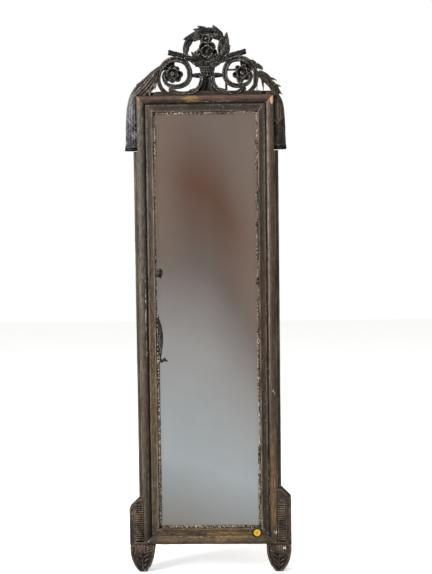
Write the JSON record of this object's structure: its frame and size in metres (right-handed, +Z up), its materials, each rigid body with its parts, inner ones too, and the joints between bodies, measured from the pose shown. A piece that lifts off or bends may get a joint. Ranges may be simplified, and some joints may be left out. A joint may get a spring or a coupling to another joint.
{
  "type": "pier mirror",
  "caption": "Tall, narrow wall mirror in a moulded, gilded wood frame with beaded slips, an openwork scroll and flower crest, corner garlands, fluted ears and leaf-shaped feet.",
  "frame": {"origin": "middle of the top rail's back face, on the wall plane", "axes": "+Z up, +X to the right as the mirror is looked at, front towards -Y, wall on the +Y side"},
  "size_m": [0.447, 0.05, 1.4979],
  "materials": {
    "gilding": "worn, darkened gilding over red clay ground",
    "dark_gilding": "dark, dirty gilding with chips to the white ground",
    "crest_finish": "near-black oxidised gilding, semi-gloss on the high places",
    "bare_pine": "bare, aged softwood",
    "mirror_glass": "old silvered glass",
    "iron": "dark, lightly rusted",
    "paper": "matte yellow"
  },
  "bodies": {
    "mirror_body": {"left_stile": "gilding", "right_stile": "gilding", "bottom_rail": "gilding", "top_rail": "gilding", "left_ear": "gilding", "right_ear": "gilding", "left_foot": "gilding", "right_foot": "gilding", "left_bead_slip": "dark_gilding", "right_bead_slip": "dark_gilding", "bottom_bead_slip": "dark_gilding", "top_bead_slip": "dark_gilding", "left_side_strip": "dark_gilding", "right_side_strip": "dark_gilding", "crest_rail": "dark_gilding", "left_scroll": "crest_finish", "right_scroll": "crest_finish", "left_rosette": "crest_finish", "right_rosette": "crest_finish", "cross_bar": "crest_finish", "pedestal": "crest_finish", "vase": "crest_finish", "bouquet_leaves": "crest_finish", "large_blossom": "crest_finish", "top_blossom": "crest_finish", "side_blossom": "crest_finish", "left_branch": "crest_finish", "right_branch": "crest_finish", "left_wreath": "crest_finish", "right_wreath": "crest_finish", "standing_leaf": "crest_finish", "left_garland": "crest_finish", "right_garland": "crest_finish", "left_drop": "crest_finish", "right_drop": "crest_finish", "left_tassel": "crest_finish", "right_tassel": "crest_finish", "left_glazing_block_1": "bare_pine", "left_glazing_block_2": "bare_pine", "right_glazing_block_1": "bare_pine", "right_glazing_block_2": "bare_pine", "backboard_1": "bare_pine", "backboard_2": "bare_pine", "seam_batten_1": "bare_pine", "hanging_batten": "bare_pine", "crest_brace": "bare_pine", "mirror_plate": "mirror_glass", "left_strap": "iron", "right_strap": "iron", "left_strap_screw_1": "iron", "left_strap_screw_2": "iron", "right_strap_screw_1": "iron", "right_strap_screw_2": "iron", "crest_stay": "iron", "rosette_stay": "iron", "paper_dot": "paper"},
    "left_hanging_ring": {"left_ring": "iron"},
    "right_hanging_ring": {"right_ring": "iron"}
  },
  "joints": [
    {"name": "left_ring_hinge", "type": "hinge", "parent": "mirror_body", "child": "left_hanging_ring", "pos_m": [-0.095, -0.00585, -0.1895], "axis": [1, 0, 0], "range_deg": [0, 170]},
    {"name": "right_ring_hinge", "type": "hinge", "parent": "mirror_body", "child": "right_hanging_ring", "pos_m": [0.095, -0.00585, -0.1895], "axis": [1, 0, 0], "range_deg": [0, 170]}
  ]
}
